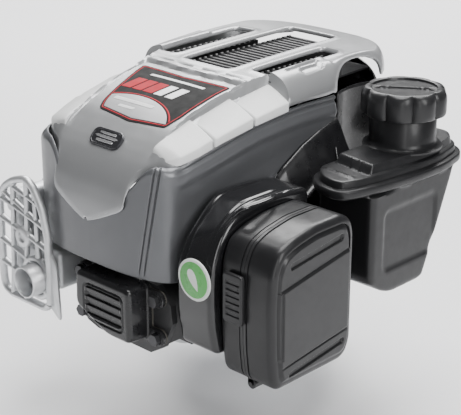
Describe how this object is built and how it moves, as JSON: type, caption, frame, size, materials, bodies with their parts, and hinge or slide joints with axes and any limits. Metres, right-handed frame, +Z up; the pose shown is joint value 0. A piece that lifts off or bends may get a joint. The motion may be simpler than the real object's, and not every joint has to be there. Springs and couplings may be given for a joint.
{
  "type": "small gasoline engine",
  "caption": "Vertical-shaft overhead-valve gasoline engine with silver hood, grey blower housing, side fuel tank, hinged air cleaner and front muffler.",
  "frame": {"origin": "crankshaft axis at the mounting face", "axes": "+Z up along the crankshaft, -Y towards the cylinder head, +X towards the air cleaner and fuel tank"},
  "size_m": [0.327, 0.347, 0.3309],
  "materials": {
    "cast_aluminium": "sand-cast, matte",
    "machined_steel": "ground",
    "sintered_steel": "oiled",
    "bright_steel": "zinc plated",
    "piston_alloy": "machined",
    "seal_rubber": "satin",
    "gasket_fibre": "matte",
    "white_nylon": "satin",
    "plug_ceramic": "glazed",
    "cover_black": "semi-gloss moulded",
    "tank_black": "fine grain satin",
    "cleaner_black": "fine grain satin",
    "cowl_black": "semi-gloss moulded",
    "shroud_grey": "metallic satin",
    "shell_black": "satin",
    "hood_silver": "silver pearl satin",
    "pad_white": "satin",
    "grille_black": "satin",
    "label_black": "printed film",
    "badge_silver": "anodised",
    "badge_green": "printed film",
    "spring_steel": "blued",
    "filter_paper": "pleated paper",
    "brass": "machined",
    "muffler_steel": "aluminised, blasted",
    "fuel_hose": "satin"
  },
  "bodies": {
    "engine": {"sump": "cast_aluminium", "oil_seals": "seal_rubber", "cylinder_block": "cast_aluminium", "connecting_rod": "piston_alloy", "wrist_pin": "bright_steel", "piston": "piston_alloy", "piston_rings": "sintered_steel", "tappets": "machined_steel", "push_rods": "bright_steel", "head_gasket": "gasket_fibre", "cylinder_head": "cast_aluminium", "valves": "machined_steel", "valve_springs": "spring_steel", "rocker_arms": "sintered_steel", "rocker_cover_gasket": "gasket_fibre", "rocker_cover": "cover_black", "hex_bolts": "bright_steel", "spark_plug": "plug_ceramic", "spark_plug_boot": "seal_rubber", "ignition_coil": "sintered_steel", "back_plate": "shell_black", "blower_housing": "shroud_grey", "rear_shell": "shell_black", "hood": "hood_silver", "side_pads": "pad_white", "intake_grille": "grille_black", "label_panel": "label_black", "hood_badge": "badge_silver", "recoil_spring": "spring_steel", "carburetor_cowl": "cowl_black", "cowl_badge": "badge_green", "air_cleaner_base": "cleaner_black", "air_filter": "filter_paper", "intake_elbow": "shell_black", "carburetor": "cast_aluminium", "muffler": "muffler_steel", "muffler_guard": "muffler_steel", "fuel_tank": "tank_black", "fuel_line": "fuel_hose", "oil_fill_tube": "shell_black"},
    "crank": {"crankshaft": "machined_steel", "crank_gear": "sintered_steel", "rod_big_end": "piston_alloy", "flywheel": "piston_alloy", "flywheel_fan": "shell_black", "flywheel_nut": "bright_steel", "starter_cup": "machined_steel"},
    "cam": {"camshaft": "machined_steel"},
    "governor": {"governor_gear": "white_nylon"},
    "pulley": {"starter_pulley": "white_nylon"},
    "brake": {"brake_lever": "bright_steel"},
    "throttle": {"throttle_shaft": "brass"},
    "choke": {"choke_shaft": "brass"},
    "governor_arm": {"governor_lever": "bright_steel"},
    "governor_rod": {"governor_link": "bright_steel"},
    "cleaner_door": {"air_cleaner_cover": "cleaner_black"},
    "cleaner_latch": {"air_cleaner_latch": "cleaner_black"},
    "cap_seal": {"fuel_cap_seal": "seal_rubber"},
    "cap": {"fuel_cap": "tank_black"},
    "dipstick": {"dipstick": "shell_black"}
  },
  "joints": [
    {"name": "crank_spin", "type": "hinge", "parent": "engine", "child": "crank", "pos_m": [0, 0, 0], "axis": [0, 0, 1], "continuous": true},
    {"name": "cam_spin", "type": "hinge", "parent": "engine", "child": "cam", "pos_m": [0.05196, -0.03, 0.02], "axis": [0, 0, 1], "continuous": true},
    {"name": "governor_spin", "type": "hinge", "parent": "engine", "child": "governor", "pos_m": [0.06646, 0.02409, 0.02], "axis": [0, 0, 1], "continuous": true},
    {"name": "pulley_turn", "type": "hinge", "parent": "engine", "child": "pulley", "pos_m": [0, 0, 0.23], "axis": [0, 0, 1], "range_deg": [0, 1800]},
    {"name": "brake_release", "type": "hinge", "parent": "engine", "child": "brake", "pos_m": [-0.097, -0.006, 0.133], "axis": [0, 0, 1], "range_deg": [0, 8]},
    {"name": "throttle_turn", "type": "hinge", "parent": "engine", "child": "throttle", "pos_m": [0.1, -0.146, 0.1], "axis": [0, 0, 1], "range_deg": [0, 70]},
    {"name": "governor_lever_turn", "type": "hinge", "parent": "engine", "child": "governor_arm", "pos_m": [0.098, 0.02, 0.1], "axis": [0, 0, 1], "range_deg": [0, 52.5]},
    {"name": "governor_link_turn", "type": "hinge", "parent": "governor_arm", "child": "governor_rod", "pos_m": [0.11235, 0.01292, 0.112], "axis": [0, 0, 1], "range_deg": [-52.5, 0]},
    {"name": "choke_turn", "type": "hinge", "parent": "engine", "child": "choke", "pos_m": [0.12, -0.146, 0.1], "axis": [0, 0, 1], "range_deg": [0, 75]},
    {"name": "cleaner_door_swing", "type": "hinge", "parent": "engine", "child": "cleaner_door", "pos_m": [0.158, -0.138, 0.038], "axis": [0, 1, 0], "range_deg": [0, 75]},
    {"name": "cleaner_latch_swing", "type": "hinge", "parent": "engine", "child": "cleaner_latch", "pos_m": [0.143, -0.1925, 0.12], "axis": [0, 0, -1], "range_deg": [0, 110]},
    {"name": "cap_seal_lift", "type": "slide", "parent": "engine", "child": "cap_seal", "axis": [0, 0, 1], "range_m": [0, 0.006]},
    {"name": "cap_turn", "type": "hinge", "parent": "cap_seal", "child": "cap", "pos_m": [0.148, 0.032, 0.24], "axis": [0, 0, 1], "range_deg": [0, 540]},
    {"name": "dipstick_pull", "type": "slide", "parent": "engine", "child": "dipstick", "axis": [-0.3536, 0.3536, 0.866], "range_m": [0, 0.015]}
  ],
  "couplings": [
    {"joint": "cam_spin", "follows": "crank_spin", "ratio": -0.5},
    {"joint": "governor_spin", "follows": "crank_spin", "ratio": 1.25},
    {"joint": "governor_lever_turn", "follows": "throttle_turn", "ratio": 0.75},
    {"joint": "governor_link_turn", "follows": "throttle_turn", "ratio": -0.75},
    {"joint": "cap_seal_lift", "follows": "cap_turn", "m_per_rad": 0.00063662}
  ]
}
